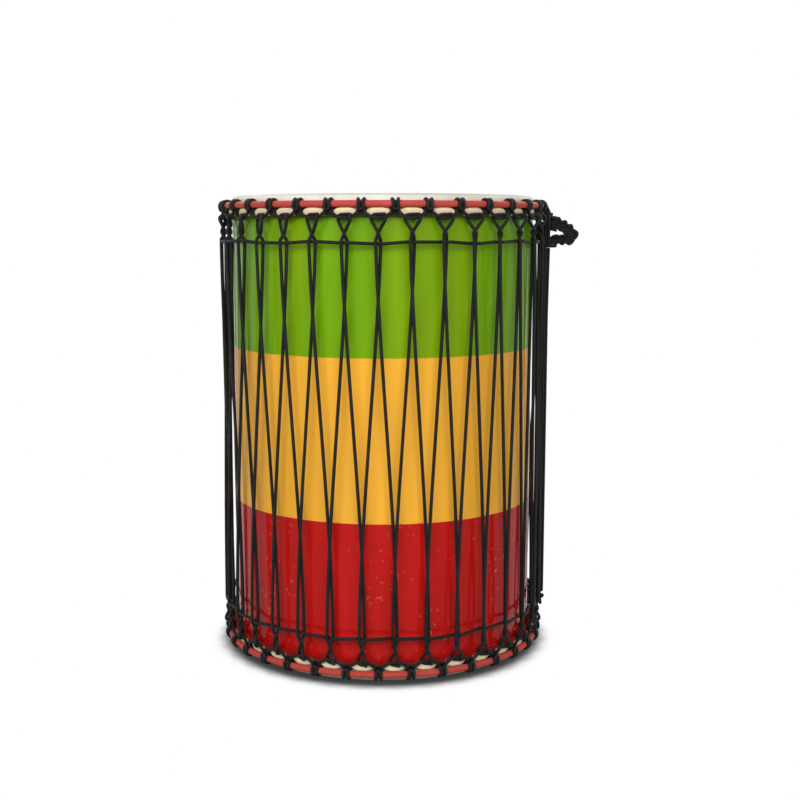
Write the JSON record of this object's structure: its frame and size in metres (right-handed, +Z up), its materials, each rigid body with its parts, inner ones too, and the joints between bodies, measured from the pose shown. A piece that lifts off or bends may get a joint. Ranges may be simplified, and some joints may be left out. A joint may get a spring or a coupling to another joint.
{
  "type": "dunun",
  "caption": "Tall cylindrical bass drum with a skin at each end, a painted wooden shell, cloth-wrapped crown rings, laced ropes and a braided rope handle that swings.",
  "frame": {"origin": "centre of the bottom skin's face, where the drum stands on the ground", "axes": "+Z up along the drum's axis, +X towards the rope handle"},
  "size_m": [0.4832, 0.4428, 0.6],
  "materials": {
    "shell_paint": "gloss paint in three bands, green at the top, yellow in the middle and red at the bottom, bare wood inside",
    "skin": "dry scraped hide, mottled cream",
    "ring_steel": "plain round rod",
    "crown_cloth": "red cotton strip",
    "rope": "black braided cord"
  },
  "bodies": {
    "drum": {"shell": "shell_paint", "top_skin": "skin", "bottom_skin": "skin", "top_flesh_ring": "ring_steel", "bottom_flesh_ring": "ring_steel", "top_crown_ring": "ring_steel", "bottom_crown_ring": "ring_steel", "top_crown_cloth": "crown_cloth", "bottom_crown_cloth": "crown_cloth", "top_loop_rope": "rope", "bottom_loop_rope": "rope", "top_loop_rope_knot": "rope", "bottom_loop_rope_knot": "rope", "lacing_rope": "rope", "lacing_knot": "rope", "top_weave_rope": "rope", "bottom_weave_rope": "rope", "tail_rope": "rope", "tail_knot": "rope", "handle_upper_hitch": "rope", "handle_lower_hitch": "rope"},
    "handle_loop": {"handle": "rope"}
  },
  "joints": [
    {"name": "handle_swing", "type": "hinge", "parent": "drum", "child": "handle_loop", "pos_m": [0.22627, 0, 0.5592], "axis": [0, 0, 1], "range_deg": [-60, 60]}
  ]
}
